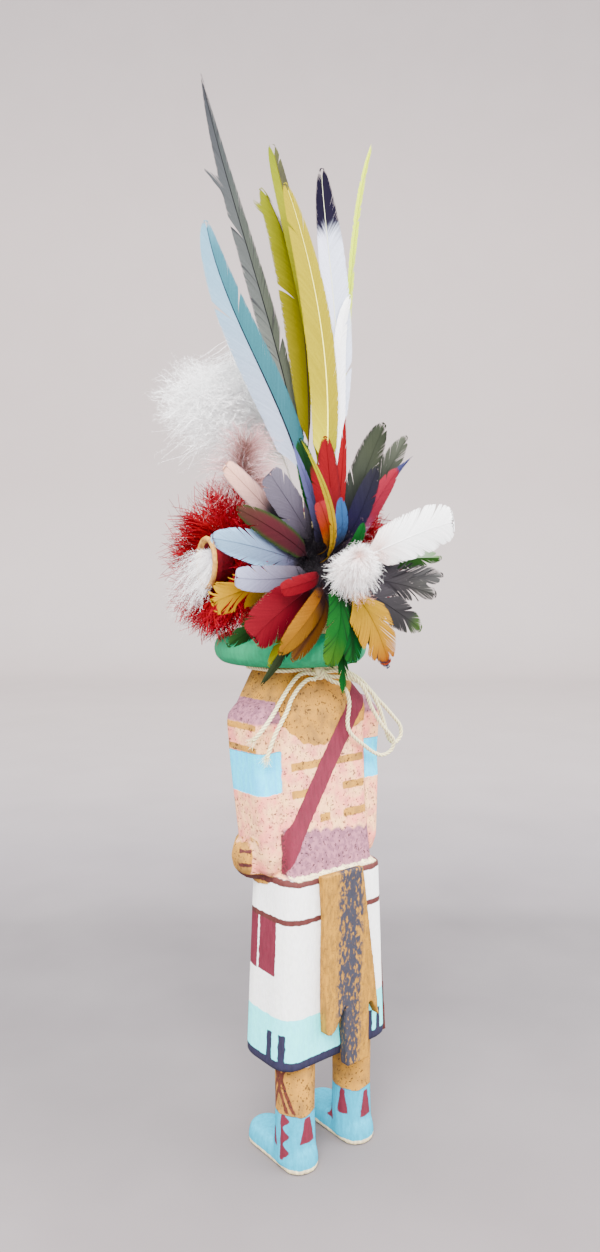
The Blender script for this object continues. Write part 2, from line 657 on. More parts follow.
CLUSTER_LOOKS = {
    "pale_blue": {
        "along": ((0, SOOT), (0.28, SOOT), (0.4, (150, 152, 176)), (0.7, (178, 193, 208)), (1, ICE)),
        "edge": ((202, 218, 228), 0.7), "fluff": (SOOT, 26)},
    "lavender_white": {
        "along": ((0, SOOT), (0.3, DUSK), (0.55, (152, 146, 160)), (0.8, (184, 184, 198)),
                  (1, (206, 209, 219))),
        "fluff": (DUSK, 40)},
    "gold_frayed": {
        "along": ((0, SCARLET), (0.32, (196, 110, 34)), (0.45, GOLD), (0.8, (216, 180, 40)),
                  (1, (220, 190, 70))),
        "splits": 6, "gap": 0.08, "ragged": 0.16, "loose": 0.6},
    "crimson": {
        "along": ((0, (86, 24, 40)), (0.35, (136, 18, 40)), (0.6, CRIMSON), (1, (182, 22, 44))),
        "fluff": ((96, 34, 50), 26)},
    "small_red": {
        "along": ((0, SOOT), (0.35, CRIMSON), (1, (196, 30, 48)))},
    "green_tip": {
        "along": ((0, SOOT), (0.4, (130, 40, 40)), (0.7, DEEP_GREEN), (1, (60, 108, 40)))},
    "yellow_green": {
        "along": ((0, SOOT), (0.35, GOLD), (1, (186, 184, 36)))},
    "gold_leaf": {
        "along": ((0, (84, 44, 50)), (0.3, (104, 52, 44)), (0.45, AMBER), (0.8, (196, 146, 26)),
                  (1, (180, 128, 30))),
        "left": ((0, (70, 38, 46)), (0.4, (92, 50, 44)), (0.6, (170, 116, 30)), (1, (196, 150, 30))),
        "streaks": ((104, 64, 38), 0.14), "fluff": ((76, 48, 56), 26)},
    "amber_leaf": {
        "along": ((0, SOOT), (0.3, (110, 60, 30)), (0.6, (164, 104, 22)), (1, (160, 106, 28))),
        "core": ((110, 58, 36), 0.3)},
    "green_left": {
        "along": ((0, SOOT), (0.3, LEAF), (0.75, (34, 130, 38)), (1, (110, 150, 40))),
        "streaks": (DEEP_GREEN, 0.2), "sweep": 2.4},
    "green_right": {
        "along": ((0, SOOT), (0.3, (24, 112, 38)), (0.8, (30, 128, 52)), (1, (50, 132, 40))),
        "streaks": (DEEP_GREEN, 0.26), "sweep": 2.4, "core": (DEEP_GREEN, 0.3)},
    "green_long": {
        "along": ((0, SOOT), (0.6, DEEP_GREEN), (0.8, LEAF), (1, (34, 136, 52))),
        "splits": 3, "ragged": 0.12, "gap": 0.04, "loose": 0.5},
    "yellow_fan": {
        "along": ((0, SNOW), (0.26, (226, 208, 198)), (0.38, (212, 181, 30)), (0.8, (210, 169, 10)),
                  (0.94, (204, 146, 20)),
                  (1, (198, 84, 34))),
        "splits": 3, "gap": 0.03, "ragged": 0.1, "fluff": ((236, 220, 214), 90), "sweep": 2.0},
    "blue_tip": {
        "along": ((0, SOOT), (0.45, (140, 134, 30)), (0.65, (72, 84, 54)), (0.85, (50, 84, 118)),
                  (1, (66, 108, 146)))},
    "banded_upper": {
        "along": ((0, SOOT), (0.35, (84, 80, 96)), (0.7, (104, 100, 104)), (1, (150, 150, 148))),
        "streaks": ((44, 42, 48), 0.3), "splits": 3, "gap": 0.05, "ragged": 0.14, "loose": 0.4,
        "sweep": 2.4,
        "fluff": ((120, 120, 146), 40)},
    "banded_lower": {
        "along": ((0, SOOT), (0.35, (90, 84, 96)), (0.7, (98, 94, 96)), (1, (122, 122, 116))),
        "streaks": ((48, 44, 50), 0.3), "splits": 3, "gap": 0.05, "ragged": 0.14, "loose": 0.4,
        "sweep": 2.4,
        "fluff": (DUSK, 34)},
    "banded_bottom": {
        "along": ((0, SOOT), (0.4, (96, 90, 98)), (0.85, (86, 84, 84)), (1, (116, 150, 62))),
        "streaks": ((58, 54, 58), 0.2), "splits": 2, "gap": 0.03, "ragged": 0.1, "loose": 0.3,
        "fluff": (DUSK, 30)},
    "white_round": {
        "along": ((0, (190, 176, 180)), (0.35, (228, 222, 220)), (0.6, SNOW), (1, SNOW)),
        "fluff": ((232, 226, 224), 150), "quill": SNOW, "ragged": 0.1, "splits": 3},
    "green_side": {
        "along": ((0, SOOT), (0.5, (52, 104, 44)), (1, (86, 138, 44))),
        "left": ((0, SOOT), (0.5, (226, 230, 226)), (1, (150, 180, 110))),
        "gap": 0.03, "ragged": 0.15},
    "pink_red": {
        "along": ((0, SOOT), (0.35, (150, 122, 160)), (0.6, (188, 66, 80)), (1, (206, 84, 92))),
        "fluff": ((200, 180, 186), 30)},
    "blue_arc": {
        "along": ((0, INK), (0.4, (62, 64, 106)), (1, (106, 118, 166)))},
    "olive_grey": {
        "along": ((0, INK), (0.35, INK), (0.5, (72, 76, 72)), (0.8, OLIVE), (1, (84, 92, 70))),
        "edge": ((56, 58, 54), 0.7), "splits": 1, "gap": 0.02, "ragged": 0.07},
    "smoke": {
        "along": ((0, INK), (0.4, (62, 62, 72)), (0.75, (98, 102, 88)), (1, (134, 138, 122))),
        "gap": 0.03, "ragged": 0.16, "loose": 0.4},
    "navy_back": {
        "along": ((0, INK), (0.5, (34, 34, 78)), (1, (60, 60, 72))), "fluff": (SOOT, 36)},
    "red_tall": {
        "along": ((0, SOOT), (0.4, SCARLET), (1, (206, 46, 44)))},
    "red_middle": {
        "along": ((0, SOOT), (0.35, (136, 28, 30)), (0.7, SCARLET), (1, (196, 52, 40))),
        "edge": ((150, 30, 30), 0.7)},
    "red_left": {
        "along": ((0, SOOT), (0.4, (156, 28, 34)), (1, (196, 48, 40))),
        "left": ((0, SOOT), (0.5, SCARLET), (0.9, (190, 46, 38)), (1, (40, 70, 30)))},
    "dark_green": {
        "along": ((0, SOOT), (0.4, DEEP_GREEN), (1, (30, 84, 34))), "edge": ((48, 128, 40), 0.6)},
    "lavender_blade": {
        "along": ((0, SOOT), (0.35, (112, 112, 148)), (1, (156, 164, 202)))},
    "thin_yellow": {
        "along": ((0, GOLD), (0.5, (214, 188, 16)), (1, (200, 196, 40)))},
    "orange_tuft": {
        "along": ((0, GOLD), (0.4, (216, 156, 24)), (0.62, (212, 108, 34)), (1, (216, 96, 90)))},
    "grey_purple": {
        "along": ((0, SOOT), (0.35, (86, 80, 92)), (0.6, (132, 126, 142)), (1, (164, 160, 172))),
        "fluff": (SOOT, 40)},
    "maroon_upper": {
        "along": ((0, SOOT), (0.35, (104, 40, 52)), (0.75, (130, 52, 58)), (1, (124, 84, 60))),
        "edge": ((62, 104, 40), 0.6)},
    "dark_olive": {
        "along": ((0, SOOT), (0.6, (56, 66, 34)), (1, (64, 78, 40)))},
    "small_blue": {
        "along": ((0, SOOT), (0.35, (80, 116, 160)), (1, (96, 152, 196)))},
    "small_green": {
        "along": ((0, GOLD), (0.4, LEAF), (1, (36, 122, 44)))},
    "cream_oval": {
        "along": ((0, SOOT), (0.6, DUSK), (0.72, (214, 194, 190)), (1, (232, 216, 208))),
        "edge": ((190, 172, 174), 0.8),
        "fluff": (DUSK, 40)},
}

CREST_LOOKS = {
    "grey": {
        "along": ((0, (164, 168, 152)), (0.5, (146, 152, 140)), (0.8, (122, 128, 128)),
                  (1, (104, 108, 114))),
        "left": ((0, (196, 198, 192)), (0.5, (156, 160, 158)), (0.8, (126, 130, 134)),
                 (1, (100, 104, 112))),
        "streaks": ((92, 94, 100), 0.26), "quill": (50, 50, 56), "quill_shift": 0.05, "splits": 1,
        "gap": 0.02,
        "ragged": 0.06, "lock": (-1, 0.70, 1.7)},
    "blue": {
        "along": ((0, (106, 160, 172)), (0.6, (112, 168, 178)), (0.9, (130, 178, 190)),
                  (1, (172, 202, 212))),
        "left": ((0, (214, 216, 222)), (0.45, (204, 211, 219)), (0.75, (194, 210, 219)),
                 (1, (182, 207, 217))),
        "quill": (30, 34, 50), "quill_radius": 0.6, "quill_shift": 0.02, "splits": 1, "gap": 0.012,
        "ragged": 0.03,
        "sweep": 1.6},
    "olive": {
        "along": ((0, (180, 166, 26)), (0.5, (194, 180, 38)), (1, (186, 184, 60))),
        "quill": (112, 94, 66), "quill_shift": 0.6, "splits": 1, "gap": 0.012, "ragged": 0.05,
        "sweep": 1.6,
        "lock": (-1, 0.88, 1.1)},
    "olive_tip": {
        "along": ((0, (190, 178, 34)), (0.76, (192, 182, 40)), (0.88, (118, 114, 92)),
                  (1, (150, 150, 96))),
        "left": ((0, (190, 178, 34)), (0.8, (196, 190, 44)), (1, (180, 184, 80))),
        "quill": (176, 166, 80), "splits": 1, "gap": 0.01, "ragged": 0.03},
    "yellow": {
        "along": ((0, (208, 202, 90)), (0.3, (212, 197, 20)), (1, (214, 199, 18))),
        "left": ((0, (228, 222, 200)), (0.2, (222, 214, 150)), (0.36, (212, 197, 20)),
                 (1, (214, 199, 18))),
        "quill": (236, 232, 206), "quill_radius": 0.6, "quill_shift": 0.1, "splits": 1, "gap": 0.008,
        "ragged": 0.03},
    "navy_tip": {
        "along": ((0, (224, 226, 230)), (0.78, (224, 226, 230)), (0.84, (38, 33, 68)), (1, (30, 26, 60))),
        "left": ((0, (228, 229, 232)), (0.8, (226, 227, 231)), (0.83, (34, 30, 64)), (1, (28, 25, 58))),
        "quill": (232, 232, 226), "quill_shift": -0.3, "splits": 1, "gap": 0.012, "ragged": 0.04},
    "white_short": {
        "along": ((0, (232, 232, 234)), (1, (244, 244, 246))), "splits": 1, "quill": SNOW,
        "ragged": 0.06},
    "pale_yellow": {
        "along": ((0, (228, 228, 200)), (0.6, (224, 226, 160)), (1, (228, 228, 172))),
        "quill": (214, 216, 160), "splits": 4, "gap": 0.012, "ragged": 0.3, "sweep": 2.6},
}

# Pieces whose barbs spread wider, or whose tips are blunter, than the plain blade under them
FULLER = {
    "gold_frayed": 1.3, "green_left": 1.15, "green_right": 1.15, "yellow_fan": 1.3,
    "olive_grey": 1.15, "smoke": 1.2, "banded_upper": 1.15, "banded_lower": 1.15,
    "banded_bottom": 1.15, "maroon_upper": 1.2,
}
BLUNTED = {"blue": "blunt", "yellow": "blunt"}


def build_feathers(material):
    rng = np.random.default_rng(11)
    record_slots = {row["node"]: row["material_slot"] for row in frame["record"]["subparts"]}
    for word, across, up, lift, width, shape, bend in CLUSTER + TUCKED:
        bundle = Bundle()
        width *= FULLER.get(word, 1.0)
        route = cluster_route(across, up, lift, bend)
        add_feather(bundle, route, width, shape, BACKWARD, CLUSTER_LOOKS[word], rng)
        node = "feather_" + word
        piece = bundle.build(node + "_vane", material)
        if node in record_slots:
            settle(piece, node, slot=record_slots[node])
        else:
            settle(piece)
    for word, foot_x, foot_y, tip_x, tip_y, tip_z, width, shape, near_bow, far_bow in CREST:
        bundle = Bundle()
        route = crest_route(foot_x, foot_y, tip_x, tip_y, tip_z, near_bow, far_bow)
        shape = BLUNTED.get(word, shape)
        add_feather(bundle, route, width, shape, BACKWARD, {**LONG_FEATHER, **CREST_LOOKS[word]}, rng)
        node = "crest_" + word
        settle(bundle.build(node + "_vane", material), node, slot=record_slots[node])


# Plumes and down

PLUME_ROUTES = {
    "feather_dusky_plume": ((13, -22, crown_z(13, -22) + 0.9), (38, -22, 346.5), (31, -20, 372.5)),
    "down_ball": ((0, 5.2, 308.5), (3, 36, 308), (12, 45, 315)),
}


def add_rachis(bundle, route, radius):
    route = [np.array(point, float) for point in route]
    look = {**LOOK_DEFAULTS, "quill": SNOW, "quill_radius": radius}
    add_quill(bundle, route, 1.0, "round", PLUME_FACING, look)


def plume(name, count, reach, stops, material, rng, first, puff, width, barbules, barbule_length=2.6,
          sag=0.25):
    # Down on a bent quill.
    route = PLUME_ROUTES[name]
    bundle = Bundle()
    s = rng.uniform(first, 1.0, count)
    here, along, across, normal = route_frame(route, s, PLUME_FACING)
    angle = rng.uniform(0, 2 * math.pi, (count, 1))
    out = across * np.cos(angle) + normal * np.sin(angle) * puff
    lean = 0.25 + 0.9 * smooth_step(0.5, 1.0, s)[:, None]
    directions = unit(out + along * lean)
    share = vane_share("round", np.clip(s * 0.9 + 0.12, 0, 0.98))
    lengths = reach * (0.55 + 0.45 * share) * rng.uniform(0.7, 1.08, count)
    add_strands(bundle, here, directions, lengths, stops, rng, wave=0.04, width=width,
                barbules=barbules, barbule_length=barbule_length, sag=sag)
    add_rachis(bundle, route, 0.7)
    return bundle.build(name + "_barbs", material)


PLUME_RACHIS = ((-4, -27, 340), (-16, -30, 365), (22, -35, 401), (33.3, -36, 431.5))
PLUME_MIDDLE = np.array((43.0, -36.0, 394.0))
PLUME_SPREAD = np.array((30.0, 16.0, 23.0))
LONG_BARBS, SOFT_BARBS, STRAY_BARBS = 1500, 1700, 160


def build_white_plume(material, rng):
    # Marabou: long barbs that fan to one side of a bent white quill, with soft down among them.
    bundle = Bundle()
    white = ((0, (240, 238, 240)), (1, (252, 252, 254)))
    ball = rng.normal(size=(LONG_BARBS, 3))
    target = PLUME_MIDDLE + unit(ball) * rng.uniform(0.35, 1.05, (LONG_BARBS, 1)) * PLUME_SPREAD
    height = (target[:, 2] - PLUME_MIDDLE[2]) / PLUME_SPREAD[2]
    s = np.clip(0.62 + 0.22 * height + rng.normal(0, 0.07, LONG_BARBS), 0.3, 0.97)
    roots = bezier(PLUME_RACHIS, s)
    lengths = np.linalg.norm(target - roots, axis=1)
    add_strands(bundle, roots, unit(target - roots), lengths, white, rng, curl=0.3, width=0.24,
                barbules=26, barbule_length=2.6, sag=0.05)
    ball = rng.normal(size=(SOFT_BARBS, 3))
    depth = rng.uniform(0.0, 1.0, (SOFT_BARBS, 1)) ** 0.6 * 0.82
    roots = PLUME_MIDDLE + unit(ball) * depth * PLUME_SPREAD
    outward = (roots - PLUME_MIDDLE) / PLUME_SPREAD + np.array((0.4, 0.0, 0.1))
    outward = unit(outward + rng.normal(0, 0.5, (SOFT_BARBS, 3)))
    add_strands(bundle, roots, outward, rng.uniform(6, 12, SOFT_BARBS), white, rng, curl=0.6,
                wave=0.06, width=0.2, barbules=18, barbule_length=2.4, sag=0.2)
    s = rng.uniform(0.3, 0.98, STRAY_BARBS)
    here, along, across, _ = route_frame(PLUME_RACHIS, s, PLUME_FACING)
    aside = across + along * rng.uniform(0.2, 1.4, (STRAY_BARBS, 1))
    aside = unit(aside + rng.normal(0, 0.2, (STRAY_BARBS, 3)))
    add_strands(bundle, here, aside, rng.uniform(8, 20, STRAY_BARBS), white, rng, width=0.18, barbules=20)
    add_rachis(bundle, PLUME_RACHIS, 0.8)
    settle(bundle.build("white_plume_barbs", material), "white_plume", slot="white_feather")


NEST_RADIUS = 21
NEST_DOWN = ((SOOT, 1300), (INK, 800), (DUSK, 500), ((88, 62, 72), 300))


def build_nest(material):
    # Dark down that fills the middle of the cluster, over the back of the mask.
    rng = np.random.default_rng(8)
    bundle = Bundle()
    for color, count in NEST_DOWN:
        angle = rng.uniform(0, 2 * math.pi, count)
        radius = NEST_RADIUS * np.sqrt(rng.uniform(0, 1, count))
        x, up = radius * np.cos(angle), radius * np.sin(angle)
        y = HEAD_Y + np.sqrt(HEAD_RADIUS ** 2 - x ** 2) + 0.4
        roots = np.stack((x, y, CLUSTER_HEIGHT + up), axis=-1)
        out = np.stack((np.cos(angle), rng.uniform(0.25, 1.1, count), np.sin(angle)), axis=-1)
        directions = unit(out + rng.normal(0, 0.25, (count, 3)))
        add_strands(bundle, roots, directions, rng.uniform(8, 17, count), ((0, color), (1, color)), rng,
                    barbules=14, barbule_length=1.8, width=0.2)
    settle(bundle.build("cluster_dark_down", material))


def build_plumes(material):
    rng = np.random.default_rng(5)
    dusky = ((0, (176, 140, 132)), (0.4, (206, 178, 172)), (1, (232, 220, 220)))
    warm = ((0, (234, 228, 226)), (1, (248, 244, 242)))
    build_white_plume(material, rng)
    dusky_plume = plume("feather_dusky_plume", 1500, 22, dusky, material, rng, first=0.1, puff=0.8,
                        width=0.22, barbules=16)
    settle(dusky_plume, "feather_dusky_plume", slot="pink_feather")
    ball = plume("down_ball", 2000, 12.5, warm, material, rng, first=0.3, puff=0.9, width=0.24,
                 barbules=14, barbule_length=1.8, sag=0.6)
    settle(ball, "down_ball", slot="white_feather")


# Ear flowers' hair and down

def ear_axes(side):
    aim = np.array((side * math.cos(EAR_TOE_IN), -math.sin(EAR_TOE_IN), 0))
    up = np.array((0, 0, 1.0))
    return aim, np.cross(up, aim), up


def ear_point(side, out):
    aim, _, _ = ear_axes(side)
    return np.array((0, HEAD_Y, EAR_HEIGHT)) + aim * (HEAD_RADIUS + 0.3 + out)


HAIR_REACH = 42
HAIR_LOCKS = 150
HAIRS_IN_LOCK = 26


def build_fringe(side, word, material):
    # Locks of crimped hair, spread like a sunburst behind the flower cup.
    rng = np.random.default_rng(21 + side)
    aim, flat, up = ear_axes(side)
    hairs = HAIR_LOCKS * HAIRS_IN_LOCK
    bundle = Bundle()
    lock_angle = rng.uniform(0, 2 * math.pi, HAIR_LOCKS)
    lock_reach = rng.uniform(0.78, 1.0, HAIR_LOCKS) * HAIR_REACH
    forward = 0.5 - 0.5 * np.cos(lock_angle)
    lock_flare = rng.uniform(0.1, 1.35, HAIR_LOCKS) * (0.35 + 0.65 * forward)
    angle = np.repeat(lock_angle, HAIRS_IN_LOCK) + rng.normal(0, 0.09, hairs)
    reach = np.repeat(lock_reach, HAIRS_IN_LOCK) * rng.uniform(0.75, 1.05, hairs)
    flare = np.repeat(lock_flare, HAIRS_IN_LOCK) + rng.normal(0, 0.03, hairs)
    radial = flat * np.cos(angle)[:, None] + up * np.sin(angle)[:, None]
    directions = unit(radial + aim * flare[:, None])
    roots = ear_point(side, 4.0) + radial * 4.5 + aim * rng.uniform(-1.6, 1.6, (hairs, 1))
    stops = ((0, (188, 14, 44)), (0.4, (226, 22, 60)), (0.85, (230, 28, 68)), (1, (232, 60, 92)))
    add_strands(bundle, roots, directions, reach, stops, rng, curl=0.2, wave=0.09, width=0.8,
                barbules=5, barbule_length=2.6)
    settle(bundle.build(word + "_fringe_hair", material), word + "_red_fringe", slot="red_hair")


def build_ear_down(side, word, material):
    # Cotton in the cup, with a thin tuft of down that falls forward and down out of it.
    rng = np.random.default_rng(31 + side)
    aim, flat, up = ear_axes(side)
    bundle = Bundle()
    count = 330
    angle = rng.uniform(0, 2 * math.pi, (count, 1))
    radius = 7.5 * np.sqrt(rng.uniform(0, 1, (count, 1)))
    radial = flat * np.cos(angle) + up * np.sin(angle)
    roots = ear_point(side, CUP_LENGTH - 6.0) + radial * radius
    fall = np.array((0, -0.35, -0.75))
    directions = aim * 0.8 + radial * 0.35 + fall * rng.uniform(0.1, 1.0, (count, 1))
    directions = unit(directions + rng.normal(0, 0.16, (count, 3)))
    lengths = rng.uniform(7, 25, count)
    stops = ((0, (232, 232, 236)), (0.5, (250, 246, 248)), (1, (250, 240, 244)))
    add_strands(bundle, roots, directions, lengths, stops, rng, barbules=26, barbule_length=2.4, sag=0.5)
    settle(bundle.build(word + "_ear_down_barbs", material), word + "_ear_down", slot="white_down")


# Carved and painted wood

def carved(node, name, voxel, rounds):
    # The solid's own form with hand-softened edges, as a fine even mesh.
    source = frame["nodes"][node]
    piece = add_object(name, source.data.copy())
    weld = piece.modifiers.new("Weld", "WELD")
    weld.merge_threshold = 0.00001
    remesh = piece.modifiers.new("Remesh", "REMESH")
    remesh.mode = "VOXEL"
    remesh.voxel_size = voxel * MM
    soften = piece.modifiers.new("Soften", "SMOOTH")
    soften.factor = 0.5
    soften.iterations = rounds
    depsgraph = bpy.context.evaluated_depsgraph_get()
    mesh = bpy.data.meshes.new_from_object(piece.evaluated_get(depsgraph))
    piece.modifiers.clear()
    piece.data = mesh
    mesh.name = name
    mesh.materials.clear()
    mesh.polygons.foreach_set("use_smooth", np.ones(len(mesh.polygons), bool))
    return piece


def doll_points(piece):
    points = np.empty(len(piece.data.vertices) * 3, np.float32)
    piece.data.vertices.foreach_get("co", points)
    return (points.reshape(-1, 3).astype(float) - DOLL) / MM


def add_field(piece, name, values):
    data = piece.data.attributes.new(name, "FLOAT", "POINT").data
    data.foreach_set("value", np.clip(values, -20, 20).astype(np.float32))


# Fields of signed distance, positive inside

def union(*fields):
    return np.maximum.reduce(fields)


def meet(*fields):
    return np.minimum.reduce(fields)


def band(value, low, high):
    return np.minimum(value - low, high - value)


def bands(value, ranges):
    return union(*(band(value, low, high) for low, high in ranges))


def polygon(x, z, corners):
    # A convex outline.
    inside = None
    pairs = list(zip(corners, corners[1:] + corners[:1]))
    turn = math.copysign(1, sum(x0 * z1 - x1 * z0 for (x0, z0), (x1, z1) in pairs))
    for (x0, z0), (x1, z1) in pairs:
        edge = np.array((x1 - x0, z1 - z0)) * turn
        normal = np.array((-edge[1], edge[0])) / np.hypot(*edge)
        distance = (x - x0) * normal[0] + (z - z0) * normal[1]
        inside = distance if inside is None else np.minimum(inside, distance)
    return inside


def line_distance(points, stations):
    # Distance to a line through the stations, with less weight on height.
    best = np.full(len(points), 1e3)
    for a, b in zip(np.array(stations), np.array(stations[1:])):
        share = np.clip((points - a) @ (b - a) / ((b - a) @ (b - a)), 0, 1)
        away = (points - a - share[:, None] * (b - a)) / (1, 1, FOREARM_TALL)
        best = np.minimum(best, np.linalg.norm(away, axis=1))
    return best


# Painted marks on the carving. Heights are above the ground, places across are towards the doll's
# left and places in depth towards its back.
FOREARM_RADIUS = 8.6
FOREARM_TALL = 1.22
FOREARM = (
    (35.0, -4.0, 161.0), (34.5, -9.0, 160.5), (33.0, -16.0, 160.5), (27.0, -24.0, 161.5),
    (19.0, -28.5, 162.5), (12.0, -30.0, 163.0), (6.5, -30.5, 163.5),
)
FOREARM_HEIGHTS = (146, 174)
WRIST_LINES = (166.5, 159.5)
WRIST_SLOPE = 0.1
WRIST_ASIDE = 38.0
FOREARM_LINE = 150.9
CREASE_ASIDE, CREASE_TOP = 28.9, 194
ARM_INSIDE = 28.2
ARM_OUTSIDE = 39.3
ARMBAND_HEIGHTS = (196.2, 217.2)
ARMBAND_SLOPE = 0.02
MAUVE_SHOULDER = 231.6
MAUVE_HEIGHTS, MAUVE_SLOPE = (150, 171), 0.12
CREAM_HEIGHTS = (KILT_TOP - 0.3, 154.7)
ARM_STRIPES = ((228.6, 231.8), (217.6, 220.8))
ARM_STRIPE_ASIDE = 36.5
# Across, and how low the tan of the shoulders reaches there
YOKE_EDGE = (
    (-43, 242.5), (-28.6, 242.5), (-28.4, 227.5), (2, 217.4), (14, 219.6), (26, 229), (28.4, 230),
    (28.6, 242.5), (43, 242.5),
)
# Lowest and highest, then each stretch across
BACK_STRIPES = (
    (206.9, 211.0, (-26.5, 23.5)),
    (193.2, 197.2, (12, 24), (-26, -10)),
    (179.0, 183.2, (0, 7), (-26, -9)),
)
SASH = ((-36, 247), (-25, 249), (5, 209), (36, 165.5), (36, 152), (32, 154.5))
SASH_TIP = ((36, 175), (36, 151), (29.3, 155), (22.3, 166.5), (17, 175.5))
SASH_SIDE = 29.6
KILT_SIDE_STARTS, KILT_BACK_STARTS = 30.0, 12.0
KILT_LINES = ((131.4, 134.2), (150.6, 153.6))
AQUA_HEIGHTS = (58, 83.5)
NAVY_HEM = (40, 61.8)
NAVY_SIDE_BARS = ((3.6, 7.8), (12.0, 15.7))
NAVY_SIDE_HEIGHTS = (60, 75.5)
NAVY_BACK_BARS = ((-22.7, -18.9), (-28.5, -25.5))
NAVY_BACK_HEIGHTS = (57, 73.5)
RED_BARS = ((-15.0, -6.7), (-5.4, 8.4))
RED_BAR_HEIGHTS = (104, 132.6)
BOOT_TOP = 29.5
SOLE = 2.6
# Degrees around a leg are counted from this direction, between the doll's back and its left side
LEG_ZERO = math.radians(39.0)
# Leg, middle in degrees, half the width there, lowest and highest, and how much it narrows upwards
BOOT_MARKS = (
    (1, 40, 26, 15, 28.5, 0.65),
    (1, -80, 22, 12, 21, 0.6),
    (-1, -31, 19, 16, 30, 0.65),
    (-1, 46, 22, 14, 28, 0.65),
    (-1, -84, 16, 9, 17, 0.7),
)
# Middle in degrees at the middle of the shin, and degrees that it turns in a millimetre upwards
LACES = ((-48, 2.2), (-66, 2.2), (-36, -2.2), (-56, -2.2))
LACE_HEIGHTS = (31, 55)
LACE_HALF_WIDTH = 6.0
SHIN_MIDDLE = 46
MM_PER_DEGREE = 0.19
PAD_RADIUS = 23
EYE_HEIGHT, EYE_ASIDE = 316.5, 8.5
MOUTH_HEIGHT, MOUTH_RADIUS = 299.5, 3.6


def leg_angle(x, y, side):
    dx, dy = x - side * LEG_X, y - LEG_Y
    toward = dx * math.sin(LEG_ZERO) + dy * math.cos(LEG_ZERO)
    aside = -dx * math.cos(LEG_ZERO) + dy * math.sin(LEG_ZERO)
    return np.degrees(np.arctan2(aside, toward))


def leg_mark(points, side, middle, half, low, high, narrow=0.0):
    # A mark around a leg, narrower towards its top.
    x, y, z = points.T
    rise = np.clip((z - low) / (high - low), 0, 1)
    width = (half * (1 - narrow * rise) - np.abs(leg_angle(x, y, side) - middle)) * MM_PER_DEGREE
    return meet(width, band(z, low, high), side * x)


def forearm_field(points):
    x, y, z = points.T
    mirrored = points.copy()
    mirrored[:, 0] = np.abs(x)
    beyond_arm = union(np.abs(x) - ARM_OUTSIDE, -19.6 - y, KILT_TOP - z + 0.5)
    near = FOREARM_RADIUS - line_distance(mirrored, FOREARM) + 2.2
    return meet(near, beyond_arm, band(z, *FOREARM_HEIGHTS))


def boot_marks(points):
    z = points[:, 2]
    tooth = 10 + 5 * np.sin(z * 0.75)
    marks = [leg_mark(points, *mark) for mark in BOOT_MARKS]
    return union(leg_mark(points, 1, -46 + tooth, tooth, 6, 30.5), *marks)


def face_marks(x, y, z):
    # Two slit eyes and a round mouth on the front of the mask.
    eyes = meet(5.0 - np.abs(np.abs(x) - EYE_ASIDE), 1.5 - np.abs(z - EYE_HEIGHT))
    mouth = MOUTH_RADIUS - np.hypot(x, z - MOUTH_HEIGHT)
    return meet(-(y - HEAD_Y) - 10, union(eyes, mouth))


